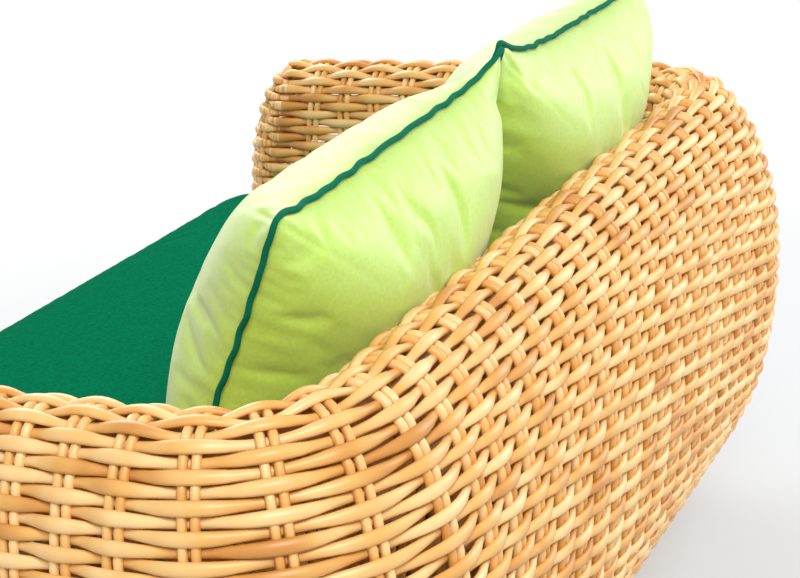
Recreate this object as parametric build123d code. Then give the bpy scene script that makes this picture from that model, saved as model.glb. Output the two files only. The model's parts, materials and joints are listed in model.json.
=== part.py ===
from build123d import *
import math
import os

# Two-seater garden sofa: a basket-like shell of woven cane on a hidden pole frame,
# with one loose seat cushion and two loose back pillows.
# Frame of the part: X along the sofa, +Y to its back, +Z up, origin on the floor
# under the middle of the shell. All lengths are in millimetres.

# Driving dimensions of the shell
sofa_length = 1530.0          # over the bulge of both arms
sofa_depth = 925.0            # over the bulge of the back and the front
rim_height = 656.0            # floor to the top of the rolled rim
back_corner_radius = 146.0    # of the rim line, seen from above
front_corner_radius = 76.0    # of the weave below the arm fronts, seen from above

# The woven skin: the stakes run in its middle surface, the weavers cross outside it
weave_out = 12.0              # middle surface to the weavers' outer face
weave_in = 6.0                # middle surface to the skin's inner face
row_pitch = 12.8              # from one woven row to the next, rounded to a whole count
row_relief = 5.0              # crest of a row to the valley between two rows
row_crest_share = 0.45        # flat crest of a row, as a share of its pitch

# The outer wall as seen in section: runs of arc from the rim down, with their turns.
# The last run is straight and ends above the floor.
wall_arc_share = 0.8765       # length of the arcs together, as a share of the rim's height
wall_run_shares = (0.063, 0.115, 0.311, 0.222, 0.289)
wall_turns = (52.0, 20.0, 21.0, 10.0, 25.0)
hem_height = 8.0              # lower edge of the weave above the floor

# The inner wall as seen in section: it rolls off the rim and hangs straight
inner_arc_length = 94.0
inner_run_shares = (0.47, 0.53)
inner_turns = (50.0, 40.0)

# Arm fronts
arm_front_setback = 30.0      # extra rake of the arm front at the rim
arm_front_rake_height = 220.0 # fades out over this height

# Cane poles of the frame
pole_diameter = 30.0
seat_rail_height = 273.0      # floor to the centre line of the poles that carry the seat
seat_clearance = 0.3          # between pieces that rest on each other
slat_thickness = 19.0
slat_width = 60.0
slat_gap = 21.0
glide_height = 12.0           # floor to the underside of the base poles
glide_saddle = 8.0            # how far a glide rises round its pole
glide_diameter = 30.0
dowel_diameter = 10.0         # joins the arm rails to the back rail, end to end
dowel_length = 50.0
top_rail_inset = 6.0          # rim line to the centre line of the top rail
top_rail_drop = 1.3           # top rail below the weave that rolls over it
base_inset = 30.0             # hem of the weave to the centre line of the base poles
bearer_spread_share = 0.8     # outer bearers, as a share of the half length of the rim
leg_spread_share = 0.42       # long bearers, as a share of the half depth of the rim
arm_rail_bend_radius = 70.0
arm_rail_foot_inset = 34.0    # the rail's foot behind the weave of the arm front

# Screws at the crossings of the bearers
screw_diameter = 5.0
screw_head_diameter = 10.0
screw_head_height = 3.0
screw_grip = 42.0             # length of the shank
bore_clearance = 0.15

# Seat cushion
cushion_gap = 5.0             # to the woven walls, each side
cushion_front_setback = 3.0   # behind the foremost weave of the apron
cushion_side_height = 138.0
cushion_crown = 14.0
cushion_front_radius = 48.0
cushion_edge_round = 16.0
cushion_draw_in = 5.0         # how far the boxed sides pull in between the seams
crown_reach_share = 0.62      # edge of the top panel to the flat middle of its crown, of half its depth
foam_inset = 34.0             # cover's outside to the foam core
foam_height = 96.0
cushion_zip_length = 620.0

# Back pillows
pillow_arm_gap = 54.7         # a pillow's piping to the woven arm
pillow_height = 404.0         # over the corner ears
pillow_thickness = 212.0
pillow_draw_in = 17.0         # how far the seam pulls in between the ears
pillow_ear_radius = 13.0
pillow_lean = 26.0            # degrees from upright
pillow_half_gap = 3.0         # middle of the sofa to a pillow's ear
pillow_back_gap = 0.1         # crown at a pillow's middle to the flat of the woven back
pillow_settle = 0.4           # the seat's crown is this much lower under the pillows
piping_diameter = 6.5
pillow_zip_length = 320.0
zip_width = 9.0
zip_thickness = 1.6
zip_slider_length = 14.0
zip_slider_width = 5.4

# Crown of a pillow: shares of the half size and of the half thickness, seam to middle
pillow_size_shares = (1.0, 0.93, 0.78, 0.50, 0.18)
pillow_rise_shares = (0.0, 0.37, 0.70, 0.93, 0.99)
pillow_round_share = 0.22     # how fast the outlines grow rounder, as a share of the height
pillow_draw_fade_share = 0.31 # share of the size over which the drawn-in sides fade out
pillow_swell_share = 0.05     # most that a side swells, as a share of the outline's height
pillow_round_limit_share = 0.3  # roundest corner, as a share of the outline's height

overrun = 40.0                # cutting tools run this far past what they cut


# Section of a woven wall

def run_chain(start, heading, runs, turns):
    """Arcs end to end: each is start, heading in degrees below level, run and turn."""
    pieces = []
    out, up = start
    for run, turn in zip(runs, turns):
        pieces.append((out, up, heading, run, turn))
        out, up = chain_point(pieces[-1], run)
        heading += turn
    return pieces


def chain_point(piece, along, offset=0.0):
    """Point on one arc of a chain, offset to the side that the wall faces."""
    out, up, heading, run, turn = piece
    bend = math.radians(turn * along / run)
    angle = math.radians(heading) + bend
    first = math.radians(heading)
    if abs(bend) > 1e-9:
        radius = along / bend
        out += radius * (math.sin(angle) - math.sin(first))
        up += radius * (math.cos(angle) - math.cos(first))
    else:
        out += along * math.cos(first)
        up -= along * math.sin(first)
    return out + offset * math.sin(angle), up + offset * math.cos(angle)


def straight_to(pieces, height):
    """Adds a straight run that goes on from the last arc down to a height."""
    out, up = chain_point(pieces[-1], pieces[-1][3])
    heading = pieces[-1][2] + pieces[-1][4]
    run = (up - height) / math.sin(math.radians(heading))
    return pieces + [(out, up, heading, run, 0.0)]


def reach(pieces, height, offset):
    """How far out the offset face of a wall stands at a height."""
    low, high = 0.0, sum(piece[3] for piece in pieces)
    for _ in range(60):
        middle = (low + high) / 2
        if at_run(pieces, middle, offset)[1] > height:
            low = middle
        else:
            high = middle
    return at_run(pieces, low, offset)[0]


def heading_at(pieces, height):
    """Heading of a wall where its middle surface passes a height."""
    for piece in pieces:
        if chain_point(piece, piece[3])[1] <= height:
            low, high = 0.0, piece[3]
            for _ in range(60):
                middle = (low + high) / 2
                if chain_point(piece, middle)[1] > height:
                    low = middle
                else:
                    high = middle
            return piece[2] + piece[4] * low / piece[3]
    return pieces[-1][2]


def at_run(pieces, along, offset=0.0):
    for piece in pieces:
        if along <= piece[3]:
            return chain_point(piece, along, offset)
        along -= piece[3]
    return chain_point(pieces[-1], pieces[-1][3], offset)


def offset_edges(pieces, offset, place):
    """The arcs of one face of the wall, as edges put in space by place."""
    edges = []
    for piece in pieces:
        ends = [place(*chain_point(piece, share * piece[3], offset)) for share in (0.0, 0.5, 1.0)]
        if piece[4]:
            edges.append(ThreePointArc(*ends))
        else:
            edges.append(Line(ends[0], ends[2]))
    return edges


def row_count(pieces):
    return round(sum(piece[3] for piece in pieces) / row_pitch)


def row_profile(count):
    """Corners of the rows' outer face, from crest to crest: place counted in rows, and offset."""
    corners = [(0.0, weave_out)]
    for row in range(count):
        corners += [(row + row_crest_share / 2, weave_out), (row + 0.5, weave_out - row_relief),
                    (row + 1 - row_crest_share / 2, weave_out)]
    return corners + [(count, weave_out)]


def lines(spots):
    return [Line(first, last) for first, last in zip(spots, spots[1:])]


def row_edges(pieces, place):
    """The outer face of the weave along a chain, with a ridge for each row."""
    step = sum(piece[3] for piece in pieces) / row_count(pieces)
    return lines([place(*at_run(pieces, row * step, offset))
                  for row, offset in row_profile(row_count(pieces))])


def band_face(pieces, place):
    """Cut face of the woven skin along a chain, in the upright plane given by place."""
    outer = row_edges(pieces, place)
    inner = offset_edges(pieces, -weave_in, place)
    ends = [Line(outer[0] @ 0, inner[0] @ 0), Line(outer[-1] @ 1, inner[-1] @ 1)]
    return make_face(outer + inner + ends)


rim_z = rim_height - weave_out
wall_runs = [share * wall_arc_share * rim_height for share in wall_run_shares]
wall = straight_to(run_chain((0.0, rim_z), 0.0, wall_runs, wall_turns), hem_height)
wall_bulge = max(at_run(wall, sum(wall_runs) * step / 100, weave_out)[0] for step in range(101))

rim_x = sofa_length / 2 - wall_bulge      # rim line of the arms
rim_y = sofa_depth / 2 - wall_bulge       # rim line of the back, and of the front
corner_x = rim_x - back_corner_radius
corner_y = rim_y - back_corner_radius

seat_rail_z = seat_rail_height
deck_z = seat_rail_z + pole_diameter / 2 + slat_thickness
inner_hem_z = seat_rail_z + pole_diameter / 2 + seat_clearance
inner_runs = [share * inner_arc_length for share in inner_run_shares]
inner = straight_to(run_chain((0.0, rim_z), 0.0, inner_runs, inner_turns), inner_hem_z)
inner_reach = reach(inner, inner_hem_z + weave_in, 0.0)

# The apron rolls over the front rail: its outer face leaves the wall where the roll begins
roll_radius = pole_diameter / 2 + weave_in + seat_clearance
apron_heading = 90.0
for _ in range(30):
    apron_top_z = seat_rail_z + roll_radius * math.cos(math.radians(apron_heading))
    apron_heading = heading_at(wall, apron_top_z)
front_rail_out = reach(wall, apron_top_z, 0.0) - roll_radius * math.sin(math.radians(apron_heading))
corner_top_z = seat_rail_z + (roll_radius + weave_out) * math.cos(math.radians(apron_heading))
front_rail_y = -rim_y - front_rail_out

# Where the fronts of the arms leave the straight walls
hem_out = reach(wall, hem_height, weave_out)
side_split_y = -rim_y - hem_out + front_corner_radius + pole_diameter / 4
front_split_x = rim_x + hem_out - front_corner_radius - pole_diameter / 4

pole_radius = pole_diameter / 2


# Woven walls

def back_wall(pieces, facing):
    place = lambda out, up: Vector(-corner_x, rim_y + facing * out, up)
    return extrude(band_face(pieces, place), amount=2 * corner_x, dir=(1, 0, 0))


def arm_wall(pieces, facing):
    place = lambda out, up: Vector(rim_x + facing * out, side_split_y, up)
    return extrude(band_face(pieces, place), amount=corner_y - side_split_y, dir=(0, 1, 0))


def corner_wall(pieces, facing):
    place = lambda out, up: Vector(rim_x + facing * out, corner_y, up)
    axis = Axis((corner_x, corner_y, 0), (0, 0, 1))
    return revolve(band_face(pieces, place), axis, 90)


def clipped(pieces, top):
    """The part of a chain that lies below a height."""
    kept = []
    for piece in pieces:
        first = chain_point(piece, 0.0)[1]
        last = chain_point(piece, piece[3])[1]
        if last >= top:
            continue
        if first <= top:
            kept.append(piece)
            continue
        low, high = 0.0, piece[3]
        for _ in range(60):
            middle = (low + high) / 2
            if chain_point(piece, middle)[1] > top:
                low = middle
            else:
                high = middle
        out, up = chain_point(piece, high)
        left = piece[3] - high
        turn = piece[4] * left / piece[3]
        kept.append((out, up, piece[2] + piece[4] - turn, left, turn))
    return kept


def front_y(height, offset):
    """Foremost point of the weave at a height, with the rake of the arm fronts."""
    fade = max(0.0, 1 - (rim_z - height) / arm_front_rake_height)
    return -rim_y - reach(wall, height, offset) + arm_front_setback * fade * fade


def nose_section(height, offset, back):
    """Outline of the closed arm front at a height, out to one face of the weave."""
    right = rim_x + reach(wall, height, offset)
    left = rim_x - reach(inner, height, offset)
    front = front_y(height, offset)
    half = (right - left) / 2
    deep = min(half, front_corner_radius)
    slant = math.sqrt(0.5)
    corner_in = (left + half * (1 - slant), front + deep * (1 - slant))
    corner_out = (right - half * (1 - slant), front + deep * (1 - slant))
    spots = [(left, back), (left, front + deep), corner_in, (left + half, front)]
    spots += [corner_out, (right, front + deep), (right, back)]
    at = [Vector(x, y, height) for x, y in spots]
    arcs = [ThreePointArc(at[1], at[2], at[3]), ThreePointArc(at[3], at[4], at[5])]
    return make_face([Line(at[0], at[1])] + arcs + [Line(at[5], at[6]), Line(at[6], at[0])])


def row_levels(low, high):
    """Crests and valleys of the wall's rows between two heights, from below: height and offset."""
    count = row_count(wall)
    step = sum(piece[3] for piece in wall) / count
    levels = [(low, weave_out)]
    for half_row in range(2 * count, 0, -1):
        offset = weave_out - row_relief * (half_row % 2)
        height = at_run(wall, half_row * step / 2, offset)[1]
        if low + row_relief < height < high - row_relief:
            levels.append((height, offset))
    return levels + [(high, weave_out)]


nose_level_shares = (0.0, 0.2, 0.4, 0.58, 0.72, 0.83, 0.9, 0.95, 0.98, 0.993, 1.0)
nose_cap_shares = (0.3, 0.55, 0.75, 0.88, 0.96, 1.0)


def arm_nose():
    """The weave that closes the front of an arm, hollow like the wall behind it."""
    low = corner_top_z
    cap = at_run(wall, wall_runs[0], weave_out)[1]
    outer_top = rim_z + weave_out - seat_clearance
    inner_top = rim_z - weave_in - seat_clearance
    levels = row_levels(low, cap)
    levels += [(cap + (outer_top - cap) * share, weave_out) for share in nose_cap_shares]
    outer = [nose_section(height, offset, side_split_y) for height, offset in levels]
    hollow = [nose_section(low - overrun + (inner_top - low + overrun) * share, -weave_in,
                           side_split_y + overrun) for share in nose_level_shares]
    return loft(outer, ruled=True) - loft(hollow, ruled=True)


def front_corner():
    """The weave that rounds the front corner below the seat, from arm to apron."""
    sections = []
    for height, level in row_levels(hem_height, corner_top_z):
        faces = []
        for offset in (level, -weave_in):
            right = rim_x + reach(wall, height, offset)
            front = front_y(height, offset)
            radius = front_corner_radius - weave_out + offset
            slant = radius * (1 - math.sqrt(0.5))
            spots = [(right, side_split_y), (right, front + radius), (right - slant, front + slant),
                     (right - radius, front), (front_split_x, front)]
            faces.append([Vector(x, y, height) for x, y in spots])
        out, inn = faces
        edges = []
        for at in faces:
            edges += [Line(at[0], at[1]), ThreePointArc(at[1], at[2], at[3]), Line(at[3], at[4])]
        edges += [Line(out[0], inn[0]), Line(out[4], inn[4])]
        sections.append(make_face(edges))
    return loft(sections, ruled=True)


def apron():
    place = lambda out, up: Vector(-front_split_x, -rim_y - out, up)
    face = band_face(clipped(wall, apron_top_z), place)
    return extrude(face, amount=2 * front_split_x, dir=(1, 0, 0))


def apron_rim():
    """Weave rolled over the front rail, from one arm front to the other."""
    length = rim_x - inner_reach - weave_out - seat_clearance
    place = lambda out, up: Vector(-length, -rim_y - out, up)
    return extrude(roll_face(place), amount=2 * length, dir=(1, 0, 0))


def roll_face(place):
    """Cut face of the roll: from the apron's upper edge over the rail to its inner hem."""
    hem_z = seat_rail_z - pole_radius + seat_clearance
    centre_out, centre_up = front_rail_out, seat_rail_z
    first = math.radians(90.0 - apron_heading)

    def spot(share, offset):
        angle = first + (math.pi - first) * share
        radius = roll_radius + offset
        return place(centre_out + radius * math.cos(angle), centre_up + radius * math.sin(angle))

    count = round((roll_radius + weave_out) * (math.pi - first) / row_pitch)
    outer = lines([spot(row / count, offset) for row, offset in row_profile(count)])
    inner = ThreePointArc(*[spot(share, -weave_in) for share in (0.0, 0.5, 1.0)])
    hems = [place(centre_out - roll_radius - offset, hem_z) for offset in (weave_out, -weave_in)]
    sides = [Line(outer[-1] @ 1, hems[0]), Line(hems[0], hems[1]), Line(hems[1], inner @ 1)]
    return make_face(outer + sides + [inner, Line(inner @ 0, outer[0] @ 0)])


# Pole frame

def pole(start, end, diameter=pole_diameter):
    start, end = Vector(*start), Vector(*end)
    run = end - start
    return extrude(Plane(origin=start, z_dir=run) * Circle(diameter / 2), amount=run.length)


def bent_pole(path):
    return sweep(Plane(origin=path @ 0, z_dir=path % 0) * Circle(pole_diameter / 2), path=path)


top_rail_z = rim_z - weave_in - top_rail_drop - pole_radius
top_rail_x = rim_x - top_rail_inset
top_rail_y = rim_y - top_rail_inset
top_rail_bend = back_corner_radius - top_rail_inset
bearer_z = seat_rail_z - pole_diameter - seat_clearance
long_bearer_z = bearer_z - pole_diameter - seat_clearance
bearer_xs = (-bearer_spread_share * rim_x, 0.0, bearer_spread_share * rim_x)
leg_ys = (-leg_spread_share * rim_y, leg_spread_share * rim_y)
base_z = glide_height + pole_radius
base_out = reach(wall, hem_height, -weave_in) - base_inset
base_y = rim_y + base_out
base_x = rim_x + base_out
bearer_front_y = front_rail_y
bearer_back_y = top_rail_y + pole_radius
inner_pole_gap = inner_reach + weave_out - pole_radius / 2
seat_ring_x = rim_x - inner_pole_gap
seat_ring_y = rim_y - inner_pole_gap
seat_ring_bend = back_corner_radius - inner_pole_gap


def back_rail():
    left, right = -corner_x, corner_x
    slant = top_rail_bend * math.sqrt(0.5)
    path = Wire([
        ThreePointArc((right + top_rail_bend, corner_y, top_rail_z),
                      (right + slant, corner_y + slant, top_rail_z),
                      (right, top_rail_y, top_rail_z)),
        Line((right, top_rail_y, top_rail_z), (left, top_rail_y, top_rail_z)),
        ThreePointArc((left, top_rail_y, top_rail_z),
                      (left - slant, corner_y + slant, top_rail_z),
                      (left - top_rail_bend, corner_y, top_rail_z)),
    ])
    return bent_pole(path) - dowels(bore_clearance)


def arm_rail():
    """Runs along the rim of an arm and bends down inside its front to the seat."""
    foot_z = seat_rail_z + pole_radius + seat_clearance
    foot_y = front_y(foot_z, -weave_in) + arm_rail_foot_inset
    head_y = front_y(top_rail_z, -weave_in) + arm_rail_foot_inset
    corners = [(top_rail_x, corner_y - seat_clearance, top_rail_z), (top_rail_x, head_y, top_rail_z),
               (top_rail_x, foot_y, foot_z)]
    return bent_pole(FilletPolyline(*corners, radius=arm_rail_bend_radius)) - dowels(bore_clearance)


def dowels(grow=0.0):
    """Hidden dowels that join the arm rails to the back rail."""
    half = dowel_length / 2 + grow
    return [pole((side * top_rail_x, corner_y - half, top_rail_z),
                 (side * top_rail_x, corner_y + half, top_rail_z), dowel_diameter + 2 * grow)
            for side in (-1, 1)]


def upright_line(ring, rail, support_z):
    """Foot and head of an upright that leans from the seat ring out to the top rail."""
    touch = ring + pole_diameter + seat_clearance
    slope = (rail - touch) / (top_rail_z - pole_radius - seat_rail_z)
    tilt = pole_radius * slope
    head_z = top_rail_z - pole_radius - seat_clearance - tilt
    foot_z = support_z + pole_radius + seat_clearance + tilt
    return (touch - slope * (seat_rail_z - foot_z), foot_z), (rail, head_z)


def back_uprights():
    foot, head = upright_line(seat_ring_y, top_rail_y, bearer_z)
    return [pole((x, *foot), (x, *head)) for x in bearer_xs]


def arm_uprights():
    foot, head = upright_line(seat_ring_x, top_rail_x, long_bearer_z)
    return [pole((side * foot[0], y, foot[1]), (side * head[0], y, head[1]))
            for side in (-1, 1) for y in leg_ys]


def seat_ring():
    """Bent pole under the inner wall: it holds the inner stakes at seat height."""
    left, right = -corner_x, corner_x
    bend = seat_ring_bend
    slant = bend * math.sqrt(0.5)
    end_y = side_split_y + seat_clearance
    z = seat_rail_z
    path = Wire([
        Line((right + bend, end_y, z), (right + bend, corner_y, z)),
        ThreePointArc((right + bend, corner_y, z), (right + slant, corner_y + slant, z),
                      (right, seat_ring_y, z)),
        Line((right, seat_ring_y, z), (left, seat_ring_y, z)),
        ThreePointArc((left, seat_ring_y, z), (left - slant, corner_y + slant, z),
                      (left - bend, corner_y, z)),
        Line((left - bend, corner_y, z), (left - bend, end_y, z)),
    ])
    return bent_pole(path)


def front_rail():
    half = rim_x - inner_reach - weave_out - seat_clearance
    return pole((-half, front_rail_y, seat_rail_z), (half, front_rail_y, seat_rail_z))


slat_back_y = seat_ring_y - pole_diameter - seat_clearance
slat_front_y = front_rail_y + roll_radius + weave_out + pole_radius + 2 * seat_clearance
slat_rail_ys = (slat_front_y, (slat_front_y + slat_back_y) / 2, slat_back_y)
slat_rail_half = corner_x


def slat_rails():
    return [pole((-slat_rail_half, y, seat_rail_z), (slat_rail_half, y, seat_rail_z))
            for y in slat_rail_ys]


def seat_slats():
    pitch = slat_width + slat_gap
    count = int((2 * slat_rail_half - slat_width) // pitch) + 1
    first = -(count - 1) * pitch / 2
    length = slat_back_y - slat_front_y + 2 * pole_radius
    middle_y = (slat_back_y + slat_front_y) / 2
    blank = Box(slat_width, length, slat_thickness - seat_clearance)
    blank = fillet(blank.edges().filter_by(Axis.Y).group_by(Axis.Z)[-1], slat_thickness / 4)
    return [Pos(first + pitch * i, middle_y, deck_z - (slat_thickness - seat_clearance) / 2) * blank
            for i in range(count)]


def screw_spots():
    return [(x, y) for x in bearer_xs for y in leg_ys]


def screw(grow=0.0):
    """Shank and head, sunk until the head is level with the top of its bearer."""
    top = bearer_z + pole_radius
    shank = Circle(screw_diameter / 2 + grow)
    head = Circle(screw_head_diameter / 2 + grow)
    shank_part = extrude(Pos(0, 0, top - screw_grip - grow) * shank, amount=screw_grip + grow)
    head_part = extrude(Pos(0, 0, top - screw_head_height - grow) * head, amount=screw_head_height + grow)
    return shank_part + head_part


def drilled(body):
    for x, y in screw_spots():
        body = body - Pos(x, y, 0) * screw(bore_clearance)
    return body


def bearers():
    return [drilled(pole((x, bearer_front_y, bearer_z), (x, bearer_back_y, bearer_z))) for x in bearer_xs]


def long_bearers():
    half = top_rail_x + pole_radius
    return [drilled(pole((-half, y, long_bearer_z), (half, y, long_bearer_z))) for y in leg_ys]


def screws():
    return [Pos(x, y, 0) * screw() for x, y in screw_spots()]


def legs():
    top = long_bearer_z - pole_radius - seat_clearance
    foot = base_z + pole_radius + seat_clearance
    xs = (-base_x, 0.0, base_x)
    return [pole((x, math.copysign(leg_ys[1], side), foot), (x, math.copysign(leg_ys[1], side), top))
            for x in xs for side in (-1, 1)]


def base_pole(y):
    half = base_x + pole_radius
    return pole((-half, y, base_z), (half, y, base_z))


def base_sides():
    start = -base_y + pole_radius + seat_clearance
    return [pole((side * base_x, start, base_z), (side * base_x, -start, base_z)) for side in (-1, 1)]


def base_middle():
    """Pole across the floor frame under the middle legs."""
    start = -base_y + pole_radius + seat_clearance
    return pole((0, start, base_z), (0, -start, base_z))


def glides():
    pads = []
    for x in (-base_x, 0.0, base_x):
        for y in (-base_y, base_y):
            pad = extrude(Pos(x, y, 0) * Circle(glide_diameter / 2), amount=glide_height + glide_saddle)
            channel = pole((x - glide_diameter, y, base_z), (x + glide_diameter, y, base_z),
                           pole_diameter + 2 * seat_clearance)
            pads.append(pad - channel)
    return pads


# Seat cushion

cushion_half_length = rim_x - inner_reach - weave_out - cushion_gap
cushion_back_y = rim_y - inner_reach - weave_out - cushion_gap
cushion_front_y = front_y(deck_z, weave_out) + cushion_front_setback
cushion_z = deck_z + seat_clearance
cushion_back_radius = back_corner_radius - inner_reach - weave_out
cushion_half_depth = (cushion_back_y - cushion_front_y) / 2
crown_reach = cushion_half_depth * crown_reach_share


def cushion_outline(height, inset):
    """Outline of the cushion at a height: rounder at the back, where the walls curve."""
    half = cushion_half_length - inset
    back = cushion_back_y - inset
    front = cushion_front_y + inset
    left_over = 1 - inset / cushion_half_depth
    r_front, r_back = cushion_front_radius * left_over, cushion_back_radius * left_over
    f = r_front * (1 - math.sqrt(0.5))
    b = r_back * (1 - math.sqrt(0.5))
    at = [(-half + r_front, front), (half - r_front, front), (half - f, front + f),
          (half, front + r_front), (half, back - r_back), (half - b, back - b),
          (half - r_back, back), (-half + r_back, back), (-half + b, back - b),
          (-half, back - r_back), (-half, front + r_front), (-half + f, front + f)]
    at = [Vector(x, y, height) for x, y in at]
    return make_face([
        Line(at[0], at[1]), ThreePointArc(at[1], at[2], at[3]), Line(at[3], at[4]),
        ThreePointArc(at[4], at[5], at[6]), Line(at[6], at[7]), ThreePointArc(at[7], at[8], at[9]),
        Line(at[9], at[10]), ThreePointArc(at[10], at[11], at[0]),
    ])


def seat_foam(grow=0.0):
    return extrude(cushion_outline(foam_z - grow, foam_inset - grow), amount=foam_height + 2 * grow)


foam_z = cushion_z + (cushion_side_height + cushion_crown - foam_height) / 2 - cushion_crown / 4
crown_inset_shares = (0.0, 0.25, 0.60, 1.0)
crown_rise_shares = (0.0, 0.55, 0.90, 1.0)


def seat_cushion():
    """Boxed cover: sides that pull in between the seams, and a crowned top."""
    side = cushion_side_height
    r = cushion_edge_round
    lower = [(0.0, r), (r, 0.0)]
    middle = [(r, 0.0), (side / 2, cushion_draw_in), (side - r, 0.0)]
    upper = [(side - r, 0.0), (side, r)]
    crown = [(side + cushion_crown * rise, r + crown_reach * inset)
             for inset, rise in zip(crown_inset_shares, crown_rise_shares)]
    parts = []
    for levels, straight in ((lower, True), (middle, False), (upper, True), (crown, False)):
        sections = [cushion_outline(cushion_z + up, inset) for up, inset in levels]
        parts.append(loft(sections, ruled=straight))
    return parts[0] + parts[1] + parts[2] + parts[3] - seat_foam(seat_clearance)


def zip_strip(length):
    """Zip tape with its slider, lying along X and facing +Y."""
    tape = Box(length, zip_thickness, zip_width)
    slider = Box(zip_slider_length, zip_thickness, zip_slider_width)
    return tape + Pos((length - zip_slider_length) / 2, zip_thickness, 0) * slider


def zip_groove(length):
    """Open groove that a zip lies in, cut in from the side that the zip faces."""
    deep = zip_thickness / 2 + seat_clearance
    block = Box(length + 2 * seat_clearance, overrun + deep, zip_width + 2 * seat_clearance)
    return Pos(0, (overrun - deep) / 2, 0) * block


def seat_zip():
    place_y = cushion_back_y - cushion_draw_in + zip_thickness / 2 + seat_clearance
    return Pos(0, place_y, cushion_z + cushion_side_height / 2) * zip_strip(cushion_zip_length)


# Back pillows, drawn flat with their middle at the origin and then stood up

def pillow_outline(width, height, draw, ear, plane):
    """Closed outline of eight tangent arcs: four ears joined by four long sides."""
    a = width / 2 - ear
    b = height / 2 - ear
    top = height / 2 - draw
    side = width / 2 - draw
    r_top = (a * a + (b - top) ** 2 - ear * ear) / (2 * (ear + b - top))
    r_side = (b * b + (a - side) ** 2 - ear * ear) / (2 * (ear + a - side))
    k_top = ear / (r_top + ear)
    k_side = ear / (r_side + ear)
    join_top = (a - a * k_top, b + (top + r_top - b) * k_top)
    join_side = (a + (side + r_side - a) * k_side, b - b * k_side)
    tip_scale = ear / math.hypot(join_top[0] + join_side[0] - 2 * a, join_top[1] + join_side[1] - 2 * b)
    tip = (a + (join_top[0] + join_side[0] - 2 * a) * tip_scale,
           b + (join_top[1] + join_side[1] - 2 * b) * tip_scale)
    at = lambda x, y: plane.from_local_coords(Vector(x, y, 0))
    quarter = [(1, 1), (-1, 1), (-1, -1), (1, -1)]
    edges = []
    for index, (sx, sy) in enumerate(quarter):
        first, last = (join_side, join_top) if index % 2 == 0 else (join_top, join_side)
        edges.append(ThreePointArc(at(first[0] * sx, first[1] * sy), at(tip[0] * sx, tip[1] * sy),
                                   at(last[0] * sx, last[1] * sy)))
        if index % 2 == 0:
            edges.append(ThreePointArc(at(join_top[0] * sx, join_top[1] * sy), at(0, top * sy),
                                       at(-join_top[0] * sx, join_top[1] * sy)))
        else:
            edges.append(ThreePointArc(at(join_side[0] * sx, join_side[1] * sy), at(side * sx, 0),
                                       at(join_side[0] * sx, -join_side[1] * sy)))
    return edges


def pillow_crown_draw(size):
    """Above the seam the sides stop pulling in and begin to swell."""
    draw = pillow_draw_in * (1 - (1 - size) / pillow_draw_fade_share)
    return max(draw, -pillow_height * size * pillow_swell_share)


def pillow_half(facing):
    """One crowned half: outlines that shrink and grow rounder away from the seam."""
    sections = []
    for size, rise in zip(pillow_size_shares, pillow_rise_shares):
        plane = Plane(origin=(0, 0, facing * pillow_thickness / 2 * rise))
        draw = pillow_crown_draw(size)
        ear = pillow_ear_radius + pillow_height * pillow_round_share * (1 - size)
        ear = min(ear, pillow_height * size * pillow_round_limit_share)
        outline = pillow_outline(pillow_width * size, pillow_height * size, draw, ear, plane)
        sections.append(make_face(outline))
    return loft(sections)


def pillow_form():
    return pillow_half(1) + pillow_half(-1) - on_lower_edge(zip_groove(pillow_zip_length))


def piping_form():
    """Round cord sewn round the seam."""
    away = piping_diameter / 2 + seat_clearance
    path = Wire(pillow_outline(pillow_width + 2 * away, pillow_height + 2 * away, pillow_draw_in,
                               pillow_ear_radius + away, Plane.XY))
    return sweep(Plane(origin=path @ 0, z_dir=path % 0) * Circle(piping_diameter / 2), path=path)


def on_lower_edge(form):
    """Lays a form on the steep edge of the back half, beside the lower seam."""
    low = pillow_height / 2 - pillow_draw_in
    size, rise = pillow_size_shares[1], pillow_rise_shares[1] * pillow_thickness / 2
    high = pillow_height / 2 * size - pillow_crown_draw(size)
    slope = math.atan2(low - high, rise)
    away = zip_thickness / 2 + seat_clearance
    middle = (low + high) / 2 + away * math.cos(slope)
    back = rise / 2 + away * math.sin(slope)
    return Pos(0, -middle, -back) * (Rot(180 + math.degrees(slope), 0, 0) * form)


piping_reach = piping_diameter + seat_clearance
pillow_room = cushion_half_length + cushion_gap - pillow_half_gap - pillow_arm_gap
pillow_width = pillow_room - 2 * piping_reach    # over the corner ears
pillow_lift = (pillow_height / 2 + piping_reach) * math.cos(math.radians(pillow_lean))
pillow_z = cushion_z + cushion_side_height + cushion_crown + pillow_lift + seat_clearance - pillow_settle
pillow_crown = pillow_rise_shares[-1] * pillow_thickness / 2
pillow_seat_y = (rim_y - inner_reach - weave_out - pillow_back_gap
                 - pillow_crown * math.cos(math.radians(pillow_lean)))
pillow_x = pillow_half_gap + piping_reach + pillow_width / 2


def stood_up(form, side):
    """Stands a flat form on the seat, leaning back, with its back half to the woven back."""
    return Pos(side * pillow_x, pillow_seat_y, pillow_z) * (Rot(90 - pillow_lean, 0, 0) * form)


# Writing the pieces

def write(name, solids):
    solids = solids if isinstance(solids, list) else [solids]
    solids = [solid for shape in solids for solid in shape.solids()]
    body = solids[0] if len(solids) == 1 else Compound(children=solids)
    body.label = name
    export_step(body, "parts/" + name + ".step")


def write_pair(name, solid):
    write(name + "_right", solid)
    write(name + "_left", mirror(solid, Plane.YZ))


os.makedirs("parts", exist_ok=True)

write("outer_weave_back", back_wall(wall, 1))
write_pair("outer_weave_corner", corner_wall(wall, 1))
write_pair("outer_weave_arm", arm_wall(wall, 1))
write("inner_weave_back", back_wall(inner, -1))
write_pair("inner_weave_corner", corner_wall(inner, -1))
write_pair("inner_weave_arm", arm_wall(inner, -1))
write_pair("arm_front_weave", arm_nose())
write_pair("front_corner_weave", front_corner())
write("apron_weave", apron())
write("apron_rim_weave", apron_rim())

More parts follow.
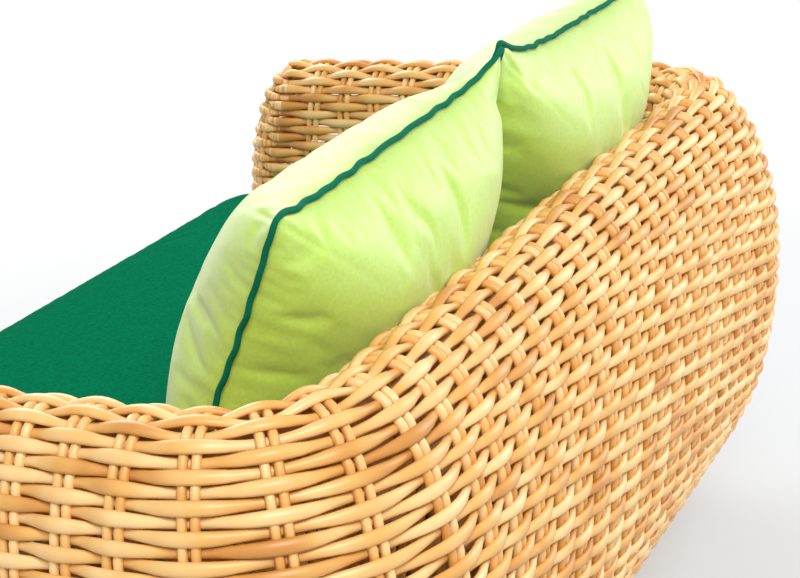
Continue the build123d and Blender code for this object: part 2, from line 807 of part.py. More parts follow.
write("top_rail_back", back_rail())
write_pair("arm_rail", arm_rail())
write("rail_dowels", dowels())
write("back_uprights", back_uprights())
write("arm_uprights", arm_uprights())
write("seat_ring", seat_ring())
write("front_rail", front_rail())
write("slat_rails", slat_rails())
write("seat_slats", seat_slats())
write("bearers", bearers())
write("long_bearers", long_bearers())
write("bearer_screws", screws())
write("legs", legs())
write("base_pole_front", base_pole(-base_y))
write("base_pole_back", base_pole(base_y))
write("base_side_poles", base_sides())
write("base_middle_pole", base_middle())
write("glides", glides())

write("seat_cushion", seat_cushion())
write("seat_foam", seat_foam())
write("seat_zip", seat_zip())
for side_name, side in (("right", 1), ("left", -1)):
    write("pillow_" + side_name, stood_up(pillow_form(), side))
    write("pillow_piping_" + side_name, stood_up(piping_form(), side))
    zip_form = on_lower_edge(zip_strip(pillow_zip_length))
    write("pillow_zip_" + side_name, stood_up(zip_form, side))
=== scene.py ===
# %% [markdown]
# # Dressing the garden sofa
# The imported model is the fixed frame. This script weaves real canes over its skin panels,
# pads the cushions, and lights the sofa as in the photograph.

# %% Load the frame
import bpy
import json
import math
import numpy as np
from mathutils import Matrix, Vector

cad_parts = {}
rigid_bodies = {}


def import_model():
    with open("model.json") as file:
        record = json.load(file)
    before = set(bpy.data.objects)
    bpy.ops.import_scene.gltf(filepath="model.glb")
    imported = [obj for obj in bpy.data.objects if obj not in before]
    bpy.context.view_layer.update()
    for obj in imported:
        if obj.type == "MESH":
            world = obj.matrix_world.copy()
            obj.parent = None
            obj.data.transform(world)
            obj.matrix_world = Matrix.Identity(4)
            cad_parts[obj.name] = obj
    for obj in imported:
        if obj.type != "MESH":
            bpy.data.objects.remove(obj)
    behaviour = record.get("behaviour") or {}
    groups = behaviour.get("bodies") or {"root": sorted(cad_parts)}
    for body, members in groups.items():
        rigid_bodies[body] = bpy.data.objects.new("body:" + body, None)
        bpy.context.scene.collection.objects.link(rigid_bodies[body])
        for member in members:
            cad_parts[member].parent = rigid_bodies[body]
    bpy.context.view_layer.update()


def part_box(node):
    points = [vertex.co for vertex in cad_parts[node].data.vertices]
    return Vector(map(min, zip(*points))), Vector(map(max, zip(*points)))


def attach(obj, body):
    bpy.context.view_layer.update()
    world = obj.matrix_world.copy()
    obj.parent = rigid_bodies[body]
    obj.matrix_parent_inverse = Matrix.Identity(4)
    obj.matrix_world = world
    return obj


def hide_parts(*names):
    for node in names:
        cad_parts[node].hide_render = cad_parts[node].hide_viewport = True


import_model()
scene = bpy.context.scene

# %% [markdown]
# ## The shell's section
# The numbers here repeat the part's driving dimensions, in millimetres. Each wall is a chain of
# arcs from the rim down to its hem. Every arc has a share of the wall's length and a turn in
# degrees, and the wall runs on straight after the last one. All this could be read off the CAD
# mesh, but a formula places every cane exactly.

# %% The shell's sizes
mm = 0.001
rim_z = 644.0
rim_x, rim_y = 666.8, 364.3
corner_radius = 146.0
corner_x, corner_y = rim_x - corner_radius, rim_y - corner_radius
hem_z, inner_hem_z = 8.0, 288.3
outer_arc, inner_arc = 575.0, 94.0
outer_runs = [outer_arc * share for share in (0.063, 0.115, 0.311, 0.222, 0.289)]
outer_turns = [52.0, 20.0, 21.0, 10.0, 25.0]
inner_runs = [inner_arc * share for share in (0.47, 0.53)]
inner_turns = [50.0, 40.0]
straight_end = 2000.0


def section_table(runs, turns, end_z):
    """Points every millimetre down one wall: along, outward reach, height, heading."""
    rows, reach, up, heading = [(0.0, 0.0, rim_z, 0.0)], 0.0, rim_z, 0.0
    for run, turn in zip(runs + [straight_end], turns + [0.0]):
        bend = turn / run
        for _ in range(int(round(run))):
            middle = math.radians(heading + bend / 2)
            reach, up = reach + math.cos(middle), up - math.sin(middle)
            heading = heading + bend
            rows.append((len(rows), reach, up, math.radians(heading)))
            if up <= end_z:
                return np.array(rows)
    return np.array(rows)


outer_table = section_table(outer_runs, outer_turns, hem_z)
inner_table = section_table(inner_runs, inner_turns, inner_hem_z)
outer_length, inner_length = outer_table[-1, 0], inner_table[-1, 0]
print("Length of the outer wall:", outer_length, "mm, of the inner:", inner_length, "mm")

# %% [markdown]
# ## How the weave is laid out
# Stakes stand in pairs, 56 mm apart along the rim, numbered round the sofa by k. Weavers lie
# in rows j, a little under 13 mm apart. A weaver passes in front of every second pair, and
# the next row passes in front of the others.
#
# The right back corner lies between k1 and k2, and the left one between k3 and k4. The pairs k
# and k_sum - k mirror each other. In front of k_split the spacing on an arm gives way, so that
# pair k_cap stands where the arm's side ends.

# %% Where pairs and rows lie
pair_step = 56.0
row_step = 12.77
first_row = 1.5
k_middle = -2.638
k_half = math.pi / 2 * corner_radius / pair_step / 2
k1, k2 = k_middle - k_half, k_middle + k_half
k3 = k2 + 2 * corner_x / pair_step
k_sum = 18
k4 = k_sum - k1
split_y = -206.0
k_split = k1 - (corner_y - split_y) / pair_step
k_cap = -15


def row_run(j):
    """How far down the wall row j lies, in millimetres."""
    return (j + first_row) * row_step


def section(s):
    """Reach, height and heading at a run s: below the rim outside, and inside where negative."""
    outer = [np.interp(s, outer_table[:, 0], outer_table[:, i]) for i in (1, 2, 3)]
    inner = [np.interp(-s, inner_table[:, 0], inner_table[:, i]) for i in (1, 2, 3)]
    outside = s >= 0
    return (np.where(outside, outer[0], -inner[0]), np.where(outside, outer[1], inner[1]),
            np.where(outside, outer[2], -inner[2]))


print("Pairs along the back:", round(k3 - k2, 2), "and along an arm:", round(k1 - k_cap, 2))

# %% [markdown]
# ## The plan of the shell
# Seen from above, the wall runs along an arm, round a back corner and along the back. Near the
# rim an arm's front is rounded off and leans back. One function of k covers the whole way, so
# that a row never breaks at a corner.

# %% The wall from above
nose_radius = 64.0
nose_fade, nose_round, nose_rake = 220.0, 24.0, 30.0
s_seat = 380.0


def cap_line(s):
    """Where the side of an arm turns into its front, and how deep and wide the turn is."""
    reach, up, _ = section(abs(s))
    inward = np.interp(abs(s), inner_table[:, 0], inner_table[:, 1])
    near_rim = np.clip(1 - (rim_z - up) / nose_fade, 0, 1)
    out = np.where(near_rim > 0, np.hypot(reach, nose_round * near_rim), reach)
    front = -rim_y - out + nose_rake * near_rim * near_rim
    half = (reach + inward) / 2
    deep = np.where(s > s_seat, nose_radius, np.minimum(half, nose_radius))
    return front + deep, deep, half


def plan(k, s):
    """Point on the rim line above, and the level direction that the wall faces."""
    left = k > k_sum / 2
    hand = np.where(left, -1.0, 1.0)
    kk = np.where(left, k_sum - k, k)
    kk = np.where(left & (kk > k1), k1 + (kk - k1) / (k4 - k3) * (2 * k_half), kk)
    turn = np.clip((kk - k1) / (2 * k_half), 0, 1) * math.pi / 2
    to_cap = (k_split - kk) / (k_split - k_cap)
    near_front = split_y + (cap_line(s)[0] - split_y) * to_cap
    on_arm = np.where(kk < k_split, near_front, corner_y - (k1 - kk) * pair_step)
    on_back = (k > k2) & (k < k3)
    x = hand * (corner_x + corner_radius * np.cos(turn))
    x = np.where(on_back, corner_x - (k - k2) * pair_step, x)
    y = np.where(kk < k1, on_arm, corner_y + corner_radius * np.sin(turn))
    y = np.where(on_back, rim_y, y)
    face = np.stack([hand * np.cos(turn), np.sin(turn)], -1)
    return x, y, np.where(on_back[..., None], np.array([0.0, 1.0]), face)


print("An arm's front reaches", round(float(cap_line(np.array(0.0))[0])), "mm at the rim")

# %% [markdown]
# ## The surface of the shell
# The woven rim stands a little higher than the smooth panel that it covers. On the back the
# rows lie higher still, so that one more of them fits over the rim, as the photograph shows.

# %% The wall's surface
rim_lift = 6.8
back_drop = 5.9
hem_calm, calm_run = 20.0, 160.0


def smooth(t):
    t = np.clip(t, 0.0, 1.0)
    return t * t * (3 - 2 * t)


def unit(vectors):
    return vectors / (np.linalg.norm(vectors, axis=-1, keepdims=True) + 1e-9)


def spread(k, s):
    """Both as arrays of numbers, of one shape."""
    return np.broadcast_arrays(np.asarray(k, float), np.asarray(s, float))


def tilted(face_x, face_y, heading):
    """The normal of a wall that faces a level direction and leans by its heading."""
    tilt = np.sin(heading)
    return np.stack([face_x * tilt, face_y * tilt, np.cos(heading)], -1)


def arm_share(k):
    """1 on the arms and 0 on the back, where the rim is one row wider."""
    return smooth((k2 - k) / (k2 - k1)) + smooth((k - k3) / (k4 - k3))


def lifted(up):
    return up + rim_lift * np.clip(up / rim_z, 0, 1)


def back_lifted(up, heading):
    share = np.clip(up / rim_z, 0, 1)
    higher = np.maximum(row_step * np.sin(heading) - back_drop * share, rim_lift * share)
    above_hem = smooth((up - hem_calm) / calm_run)
    return up + rim_lift * share + (higher - rim_lift * share) * above_hem


def shell(k, s):
    """Point and normal of the wall at pair k and run s."""
    k, s = spread(k, s)
    x, y, face = plan(k, s)
    reach, up, heading = section(s)
    on_arm = arm_share(k)
    reach = reach - (1 - on_arm) * row_step * np.cos(heading)
    height = back_lifted(up, heading) * (1 - on_arm) + lifted(up) * on_arm
    at = np.stack([x + face[..., 0] * reach, y + face[..., 1] * reach, height], -1)
    return at, tilted(face[..., 0], face[..., 1], heading)


print("Height of the rim on an arm:", round(float(shell(k_cap, 0.0)[0][2]), 1), "mm")

# %% [markdown]
# ## Arm fronts, front corners and apron
# The weave closes round the raked front of each arm. Below the seat the same rows turn the
# front corner instead, and run on along the apron.

# %% Surfaces at the front
corner_turn = math.pi / 2 * nose_radius
k_corner, k_apron_end = -18, -40


def nose(k, s, pairs):
    """The closed front of the right arm, from its outer side round to its inner side."""
    k, s = spread(k, s)
    share = (k_cap - k) / (pairs + 1)
    reach, up, heading = section(s)
    inner_reach, inner_up, inner_heading = section(-s)
    line, deep, half = cap_line(s)
    turn = share * math.pi
    middle = rim_x + (reach + inner_reach) / 2
    height = lifted(up * (1 - share) + inner_up * share)
    at = np.stack([middle + half * np.cos(turn), line - deep * np.sin(turn), height], -1)
    flat = unit(np.stack([np.cos(turn) * deep, -np.sin(turn) * half], -1))
    lean = heading * (1 - share) - inner_heading * share
    return at, tilted(flat[..., 0], flat[..., 1], lean)


def low_front(k, s):
    """Below the seat: the right front corner, and the apron as far as the left corner."""
    k, s = spread(k, s)
    reach, up, heading = section(s)
    run = (k_cap - k) * pair_step
    turn = np.clip(run / nose_radius, 0, math.pi / 2)
    start_x = rim_x + reach - nose_radius
    end_x = start_x - ((k_cap - k_corner) * pair_step - corner_turn)
    along_apron = end_x - (k_corner - k) / (k_corner - k_apron_end) * 2 * end_x
    round_corner = start_x + nose_radius * np.cos(turn) - np.clip(run - corner_turn, 0, None)
    x = np.where(k < k_corner, along_apron, round_corner)
    y = cap_line(s)[0] - nose_radius * np.sin(turn)
    at = np.stack([x, y, lifted(up)], -1)
    return at, tilted(np.cos(turn), -np.sin(turn), heading)


print("The front corner turns in", round(corner_turn), "mm")

# %% [markdown]
# ## The roll over the front rail
# The apron leaves the wall's line at the seam, rolls over the front rail and goes down inside,
# where a maker would nail it to the rail.

# %% The apron's roll
seat_rail_z = 273.0
roll_radius = 21.3
seam_angle = math.radians(104.0)
seam_z = seat_rail_z + roll_radius * math.cos(seam_angle)
s_join = float(np.interp(-seam_z, -outer_table[:, 2], outer_table[:, 0]))
join_reach, join_up, join_heading = (float(v) for v in section(np.array(s_join)))
roll_start = math.pi / 2 - join_heading
roll_turn = math.pi - roll_start
roll_out = join_reach - roll_radius * math.cos(roll_start)
roll_lift = float(lifted(join_up)) - (seat_rail_z + roll_radius * math.sin(roll_start))


def apron_roll(k, t):
    """Weave rolled over the front rail: t runs up from the apron's edge and down inside."""
    k, t = spread(k, t)
    edge = low_front(k, np.full(k.shape, s_join))[0]
    angle = roll_start + np.clip(t, 0, roll_turn * roll_radius) / roll_radius
    drop = np.clip(t - roll_turn * roll_radius, 0, None)
    y = -rim_y - roll_out - roll_radius * np.cos(angle)
    z = seat_rail_z + roll_radius * np.sin(angle) - drop + roll_lift
    at = np.stack([edge[..., 0], y, z], -1)
    return at, np.stack([np.zeros(k.shape), -np.cos(angle), np.sin(angle)], -1)


print("The roll leaves the apron", round(s_join), "mm below the rim line")

# %% [markdown]
# ## Canes as tubes
# Every cane is a tube whose cut is an ellipse. Blender's curves with a bevel could make them,
# but one mesh built from arrays is quicker for thousands of crossings. It also keeps, for each
# point, how far along its cane it lies and the number that sets its tone.

# %% Building canes


def tube_points(at, across, out, high, deep, sides):
    """Rings of points round a line, with half sizes high and deep, in millimetres."""
    angle = np.arange(sides) * 2 * math.pi / sides
    ring = (at[:, None, :] + across[:, None, :] * (high[:, None] * np.cos(angle))[..., None]
            + out[:, None, :] * (deep[:, None] * np.sin(angle))[..., None])
    return ring.reshape(-1, 3)


def tube_faces(rings, sides, closed=False):
    """Faces between the rings of a tube, and from the last to the first if it is closed."""
    i = np.arange(rings if closed else rings - 1)[:, None]
    here, ahead = i * sides, (i + 1) % rings * sides
    a = np.arange(sides)[None, :]
    b = (a + 1) % sides
    return np.stack([here + a, here + b, ahead + b, ahead + a], -1).reshape(-1, 4)


class Canes:
    """Collects tubes, then makes one mesh of them."""

    def __init__(self):
        self.points, self.faces, self.run, self.tone, self.count = [], [], [], [], 0

    def add(self, at, normal, high, deep, tone, run, sides=8):
        """One tube along the points at, with its broad side square to the normals."""
        ahead = unit(np.gradient(at, axis=0))
        across = unit(np.cross(ahead, normal))
        out = np.cross(across, ahead)
        self.points.append(tube_points(at, across, out, high, deep, sides))
        self.faces.append(tube_faces(len(at), sides) + self.count)
        self.run.append(np.repeat(run, sides))
        self.tone.append(np.repeat(tone, sides))
        self.count += len(at) * sides

    def make(self, name, material, flip_x=False):
        """The mesh object of all tubes so far, mirrored left to right if asked."""
        points = np.concatenate(self.points) * mm
        faces = np.concatenate(self.faces)
        if flip_x:
            points = points * np.array([-1.0, 1.0, 1.0])
            faces = faces[:, ::-1]
        mesh = bpy.data.meshes.new(name)
        mesh.vertices.add(len(points))
        mesh.vertices.foreach_set("co", points.ravel())
        mesh.loops.add(faces.size)
        mesh.loops.foreach_set("vertex_index", faces.ravel())
        mesh.polygons.add(len(faces))
        mesh.polygons.foreach_set("loop_start", np.arange(len(faces)) * 4)
        mesh.polygons.foreach_set("use_smooth", np.ones(len(faces), bool))
        for label, values in (("run", self.run), ("tone", self.tone)):
            layer = mesh.attributes.new(label, "FLOAT", "POINT")
            layer.data.foreach_set("value", np.concatenate(values))
        mesh.update()
        mesh.validate()
        obj = bpy.data.objects.new(name, mesh)
        scene.collection.objects.link(obj)
        obj.data.materials.append(material)
        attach(obj, "frame")
        print(name, "has", len(faces) * 2, "triangles")


print("Tubes ready")

# %% [markdown]
# ## Weavers and stakes
# A weaver swings in front of a pair and behind the next, and is widest where it lies over a
# pair. The two stakes of a pair give way a little to each weaver. No cane is quite even. A
# picture or a relief of a weave would be lighter, but so close to the camera only real canes
# show the right edges and shadows.

# %% Laying weavers and stakes
samples = 8
swing_out, swing_in = 6.2, 5.6
weaver_high, weaver_swell, weaver_deep = 5.3, 1.6, 4.3
arm_fuller = 0.6
k_lowest, k_highest = -45, 60
uneven_size, uneven_step, uneven_high = 0.7, 1.0, 0.3
stake_radius, stake_apart, stake_push = 4.9, 6.0, 1.0
stake_samples, stake_sides = 3, 6
stake_tone, stake_tone_step = 200.0, 2.7
k_nudge = 0.02


def wander(count, size, step, seed):
    """A smooth, repeatable unevenness along a cane."""
    local = np.random.default_rng(abs(seed))
    at = np.arange(count) * step
    total = np.zeros(count)
    for _ in range(3):
        total += np.sin(at * local.uniform(0.6, 2.6) + local.uniform(0, 6.3)) / 3
    return size * total


def unevenness(k, seed):
    wavy = wander(k_highest - k_lowest, uneven_size, uneven_step, seed)
    return np.interp(k, np.arange(k_lowest, k_highest), wavy)


def cane_tone(index, seed):
    """The number that picks a weaver's tone."""
    return float(index) + 0.37 * (seed % 7)


def weaver(canes, surface, k_from, k_to, index, seed, joins=None):
    """Lays one weaver from pair k_from to k_to; joins names the inner weaver it runs on into."""
    between = np.arange(math.ceil(k_from * samples), k_to * samples) / samples
    steps = np.unique(np.concatenate([[k_from, k_to], between]))
    at, normal = surface(steps)
    front = -np.cos(math.pi * (steps + index))
    swing = (swing_out - swing_in) / 2 + front * (swing_out + swing_in) / 2
    uneven, run = unevenness(steps, seed), steps * pair_step
    tone = np.full(len(steps), cane_tone(index, seed))
    if joins:
        inner_index, inner_seed, pairs = joins
        share = np.clip((k_cap - steps) / (pairs + 1), 0, 1)
        uneven = uneven + (unevenness(steps + pairs + 1, inner_seed) - uneven) * share
        tone = tone + (cane_tone(inner_index, inner_seed) - tone) * share
        run = run + share * (pairs + 1) * pair_step
    at = at + normal * (swing + uneven)[:, None]
    fuller = arm_fuller * arm_share(steps) + weaver_swell * np.clip(front, 0, 1)
    high = weaver_high + fuller + uneven * uneven_high
    canes.add(at, normal, high, np.full(len(steps), weaver_deep), tone, run)


def stake_pair(canes, surface, rows, k, seed, parity=None):
    """Two stakes side by side down the wall, between two rows, yielding to the weavers."""
    parity = k - first_row if parity is None else parity
    low, high = rows
    fine = np.linspace(low, high, int(abs(high - low) * stake_samples) + 2)
    at, normal = surface(np.full(len(fine), float(k)), fine)
    beside, _ = surface(np.full(len(fine), k + k_nudge), fine)
    side = unit(beside - at)
    push = np.cos(math.pi * (fine + parity)) * stake_push
    for hand in (-1, 1):
        line = at + side * hand * stake_apart + normal * push[:, None]
        size = np.full(len(fine), stake_radius)
        tone = np.full(len(fine), stake_tone + stake_tone_step * seed + hand)
        canes.add(line, normal, size, size, tone, fine * row_step, stake_sides)


print("A weaver swings", swing_out, "mm out and", swing_in, "mm in")

# %% [markdown]
# ## Building materials
# A look is a tree of nodes. It could be drawn by hand in the shader editor, but a small class
# that adds and links nodes keeps each look below to a few lines.

# %% Node trees


class Tree:
    """The node tree of a material or of the world."""

    def __init__(self, owner):
        owner.use_nodes = True
        self.nodes, self.link = owner.node_tree.nodes, owner.node_tree.links.new

    def add(self, kind, values=None):
        """A new node, with values for some of its inputs."""
        node = self.nodes.new("ShaderNode" + kind)
        for label, value in (values or {}).items():
            node.inputs[label].default_value = value
        return node

    def reckon(self, operation, *values, kind="Math", output=0):
        """The result of a sum on sockets or plain numbers."""
        node = self.add(kind)
        node.operation = operation
        for socket, value in zip(node.inputs, values):
            if isinstance(value, bpy.types.NodeSocket):
                self.link(value, socket)
            else:
                socket.default_value = value
        return node.outputs[output]

    def between(self, value, low, high, least=0.0):
        """Runs from least to 1 while the value runs from low to high."""
        node = self.add("MapRange", {"From Min": low, "From Max": high, "To Min": least})
        self.link(value, node.inputs["Value"])
        return node.outputs["Result"]

    def cloud(self, where, scale, detail):
        node = self.add("TexNoise", {"Scale": scale, "Detail": detail})
        self.link(where, node.inputs["Vector"])
        return node.outputs["Fac"]

    def tones(self, value, stops):
        """Colours along a value, from stops of a position and a colour each."""
        node = self.add("ValToRGB")
        elements = node.color_ramp.elements
        for element, (position, color) in zip(elements, (stops[0], stops[-1])):
            element.position = position
            element.color = (*color, 1)
        for position, color in stops[1:-1]:
            elements.new(position).color = (*color, 1)
        self.link(value, node.inputs["Fac"])
        return node.outputs["Color"]

    def relief(self, height, strength, distance):
        node = self.add("Bump", {"Strength": strength, "Distance": distance})
        self.link(height, node.inputs["Height"])
        return node.outputs["Normal"]


def new_material(name, values):
    """A material, its tree and its shader, with values for the shader's own inputs."""
    material = bpy.data.materials.new(name)
    tree = Tree(material)
    shader = tree.nodes["Principled BSDF"]
    for label, value in values.items():
        shader.inputs[label].default_value = value
    return material, tree, shader


print("Node trees ready")

# %% [markdown]
# ## Cane material
# Peeled and lacquered rattan: pale honey to amber, changing from cane to cane and slowly along
# each one. A noise read in the two numbers stored on the canes does this, so that no tone runs
# across from one cane to the next. A thin coat gives the soft shine of lacquer.

# %% Cane material
amber, honey, pale_honey = (0.62, 0.26, 0.05), (0.82, 0.435, 0.115), (0.93, 0.62, 0.27)
along_scale, tone_scale = 0.009, 3.1
cane, tree, shader = new_material(
    "cane", {"Roughness": 0.42, "Coat Weight": 0.14, "Coat Roughness": 0.25})
where = tree.add("CombineXYZ")
for label, axis, scale in (("run", "X", along_scale), ("tone", "Y", tone_scale)):
    stored = tree.add("Attribute")
    stored.attribute_name = label
    tree.link(tree.reckon("MULTIPLY", stored.outputs["Fac"], scale), where.inputs[axis])
clouds = tree.cloud(where.outputs[0], 1.0, 3.0)
tones = tree.tones(clouds, [(0.33, amber), (0.46, honey), (0.60, pale_honey)])
tree.link(tones, shader.inputs["Base Color"])
print("Cane material made")

# %% [markdown]
# ## Weaving the shell
# The outer wall is woven in stretches that meet end to end: arms, corners and back. Each is a
# mesh of its own, to match the panels of the CAD model. The rim has no border: the stakes run
# over it, and the rows go on down the inside.

# %% Weaving the outer and inner walls
lap = 0.04


def rows_down(length, margin):
    return range(-1, int((length - margin) / row_step - first_row) + 1)


def outer_cane(j):
    """Index and seed of an outer row; the index says which pairs it passes in front of."""
    return j, j * 3 + 1


def inner_cane(m):
    return -3 - m, m * 3 + 500


def on_rows(wall, *more):
    """The same wall, told in rows instead of millimetres down it."""
    return lambda k, rows: wall(k, rows * row_step, *more)


def weave_rows(canes, k_from, k_to, rows, cane_of, way):
    """The rows of a stretch, outside where way is 1 and inside where it is -1."""
    for j in rows:
        weaver(canes, lambda k: shell(k, way * row_run(j)), k_from - lap, k_to + lap,
               *cane_of(j))


def weave_stakes(canes, k_from, k_to):
    """Stake pairs from the inner hem over the rim to the outer hem."""
    for k in range(math.ceil(k_from), math.ceil(k_to)):
        rows = [-inner_length / row_step, outer_length / row_step]
        stake_pair(canes, on_rows(shell), rows, k, k)


outer_rows = rows_down(outer_length, margin=6)
inner_rows = rows_down(inner_length, margin=4)
back_seam = 8.7
stretches = {
    "weave_arm_right": (k_cap, k1), "weave_corner_right": (k1, k2),
    "weave_back_right": (k2, back_seam), "weave_back_left": (back_seam, k3),
    "weave_corner_left": (k3, k4), "weave_arm_left": (k4, k_sum - k_cap),
}
for name, (k_from, k_to) in stretches.items():
    canes = Canes()
    weave_rows(canes, k_from, k_to, outer_rows, outer_cane, 1)
    canes.make(name, cane)
    canes = Canes()
    weave_rows(canes, k_from, k_to, inner_rows, inner_cane, -1)
    weave_stakes(canes, k_from, k_to)
    canes.make(name + "_inside", cane)

# %% [markdown]
# ## Arm fronts and front corners woven
# At the front of an arm each outer row turns and runs on as the inner row of the same height.
# Near the rim's crest the turn is too tight for a pair of stakes. The left side is the right
# one mirrored.

# %% Weaving the arm fronts and corners
join_row = int(s_join / row_step - first_row)
join_at = s_join / row_step
front_pairs, high_pairs = 4, 2
high_up = 560
side_top, middle_top = 6.5, 0.8


def pairs_round(j):
    """How many pairs of stakes row j passes on its way round an arm's front."""
    if j < 1:
        return 0
    return high_pairs if float(section(np.array(row_run(j)))[1]) > high_up else front_pairs


def weave_arm_front(canes):
    for j in range(-1, join_row + 1):
        pairs = pairs_round(j)
        weaver(canes, lambda k: nose(k, row_run(j), pairs), k_cap - pairs - 1 - lap,
               k_cap + lap, *outer_cane(j), (*inner_cane(j), pairs))
    for index in range(1, front_pairs + 1):
        top = side_top if index in (1, front_pairs) else middle_top
        stake_pair(canes, on_rows(nose, front_pairs), [top, join_at], k_cap - index, 70 + index)


def weave_low_front(canes, k_from, k_to, stakes):
    """Rows and stakes below the seat; stakes holds the seed of each pair."""
    for j in range(join_row + 1, outer_rows[-1] + 1):
        weaver(canes, lambda k: low_front(k, row_run(j)), k_from - lap, k_to + lap,
               *outer_cane(j))
    for k, seed in stakes.items():
        stake_pair(canes, on_rows(low_front), [join_at, outer_length / row_step], k, seed)


for flip, hand in ((False, "right"), (True, "left")):
    canes = Canes()
    weave_arm_front(canes)
    canes.make("weave_arm_front_" + hand, cane, flip)
    canes = Canes()
    weave_low_front(canes, k_corner, k_cap, {k: 80 + k for k in range(k_corner, k_cap)})
    canes.make("weave_front_corner_" + hand, cane, flip)

# %% [markdown]
# The apron runs between the front corners and rolls over the front rail. The photograph doesn't
# show it, so it is woven like the rest.

# %% Weaving the apron
canes = Canes()
weave_low_front(canes, k_apron_end, k_corner,
                {k: 120 - k for k in range(k_apron_end + 1, k_corner)})
canes.make("weave_apron", cane)

canes = Canes()
roll_tail = 12.0
roll_first = row_run(join_row + 1) - s_join
roll_length = roll_turn * roll_radius + roll_tail
roll_k_from, roll_k_to = -40.3, -17.7
for n in range(1, int((roll_length + roll_first) / row_step) + 1):
    t = n * row_step - roll_first
    weaver(canes, lambda k: apron_roll(k, t), roll_k_from, roll_k_to, join_row + 1 - n, 700 + n)
for k in range(math.ceil(roll_k_from), math.ceil(roll_k_to)):
    rows = [0.0, roll_length / row_step]
    stake_pair(canes, on_rows(apron_roll), rows, k, 300 - k, parity=0.5)
canes.make("weave_apron_roll", cane)

# %% [markdown]
# The woven pieces stand for the skin panels of the CAD model, which would show between the
# canes if they stayed.

# %% Hiding the skin panels
standing = {
    "weave_back_right": "outer_weave_back", "weave_back_right_inside": "inner_weave_back",
    "weave_apron": "apron_weave", "weave_apron_roll": "apron_rim_weave",
}
for hand in ("right", "left"):
    for place in ("corner_" + hand, "arm_" + hand):
        standing["weave_" + place] = "outer_weave_" + place
        standing["weave_" + place + "_inside"] = "inner_weave_" + place
    for place in ("arm_front", "front_corner"):
        standing["weave_" + place + "_" + hand] = place + "_weave_" + hand
for piece, node in standing.items():
    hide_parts(node)
print("Skin panels replaced:", len(standing))

# %% [markdown]
# ## Closed forms for stuffed pieces
# Each cushion starts as a closed form a little smaller than the real one: a box whose sides
# have levels, or two sheets joined along their border, as covers are sewn.

# %% Building closed forms


def rounded(u, v, half_x, half_y, radius):
    """A point of the unit square laid on a rectangle with rounded corners."""
    m = np.maximum(np.abs(u), np.abs(v))
    safe = np.where(m > 1e-9, m, 1)
    x, y = u / safe * half_x, v / safe * half_y
    inner_x, inner_y = half_x - radius, half_y - radius
    over_x, over_y = np.abs(x) - inner_x, np.abs(y) - inner_y
    corner = (over_x > 0) & (over_y > 0)
    size = np.hypot(over_x, over_y) + 1e-12
    x = np.where(corner, np.sign(x) * (inner_x + radius * over_x / size), x)
    y = np.where(corner, np.sign(y) * (inner_y + radius * over_y / size), y)
    return x * m, y * m, m


def layer(spot, count_x, count_y, k, flip):
    """The faces of one sheet; spot gives the number of the point at a place in the grid."""
    quads = [[spot(i, j, k), spot(i + 1, j, k), spot(i + 1, j + 1, k), spot(i, j + 1, k)]
             for i in range(count_x) for j in range(count_y)]
    return [quad[::-1] for quad in quads] if flip else quads


def border_loop(count_x, count_y):
    """The places along the border of the grid, in order round it."""
    return ([(i, 0) for i in range(count_x)] + [(count_x, j) for j in range(count_y)]
            + [(i, count_y) for i in range(count_x, 0, -1)]
            + [(0, j) for j in range(count_y, 0, -1)])


def unit_grid(index, count_x, count_y):
    """The places of all points, with the first two from -1 to 1."""
    grid = np.array(list(index), float)
    return grid[:, 0] / count_x * 2 - 1, grid[:, 1] / count_y * 2 - 1, grid[:, 2]


def box_form(count_x, count_y, levels):
    """Closed box surface as grid coordinates: u and v across, w through the levels."""
    index = {}

    def spot(i, j, k):
        return index.setdefault((i, j, k), len(index))

    faces = layer(spot, count_x, count_y, 0, True) + layer(spot, count_x, count_y, levels, False)
    border = border_loop(count_x, count_y)
    for (a, b), (c, d) in zip(border, border[1:] + border[:1]):
        for k in range(levels):
            faces.append([spot(a, b, k), spot(c, d, k), spot(c, d, k + 1), spot(a, b, k + 1)])
    u, v, level = unit_grid(index, count_x, count_y)
    return u, v, level / levels, faces


def two_sheets(count_x, count_y):
    """Two sheets joined along their border, where the third coordinate is 0."""
    index = {}

    def spot(i, j, k):
        on_border = i in (0, count_x) or j in (0, count_y)
        return index.setdefault((i, j, 0 if on_border else k), len(index))

    faces = layer(spot, count_x, count_y, 1, False) + layer(spot, count_x, count_y, -1, True)
    return *unit_grid(index, count_x, count_y), faces


def mesh_object(name, points, faces):
    mesh = bpy.data.meshes.new(name)
    mesh.from_pydata((points * mm).tolist(), [], faces)
    mesh.polygons.foreach_set("use_smooth", np.ones(len(faces), bool))
    obj = bpy.data.objects.new(name, mesh)
    scene.collection.objects.link(obj)
    return obj


print("Closed forms ready")

# %% [markdown]
# ## Inflating
# A cloth simulation with air pressure inside fills a form out, and its seams are held so that
# piping can follow them. A cushion could be sculpted, but pressure gives cloth its belly by
# itself. The form starts close to the end, so twenty frames are enough.

# %% Inflating a form


def read_points(obj, label):
    flat = np.empty(len(obj.data.vertices) * 3)
    obj.data.vertices.foreach_get(label, flat)
    return flat.reshape(-1, 3)


def coords(obj):
    return read_points(obj, "co") / mm


def set_coords(obj, points):
    obj.data.vertices.foreach_set("co", (points * mm).ravel())
    obj.data.update()


def apply_modifiers(obj):
    graph = bpy.context.evaluated_depsgraph_get()
    mesh = bpy.data.meshes.new_from_object(obj.evaluated_get(graph))
    obj.modifiers.clear()
    old, obj.data = obj.data, mesh
    bpy.data.meshes.remove(old)


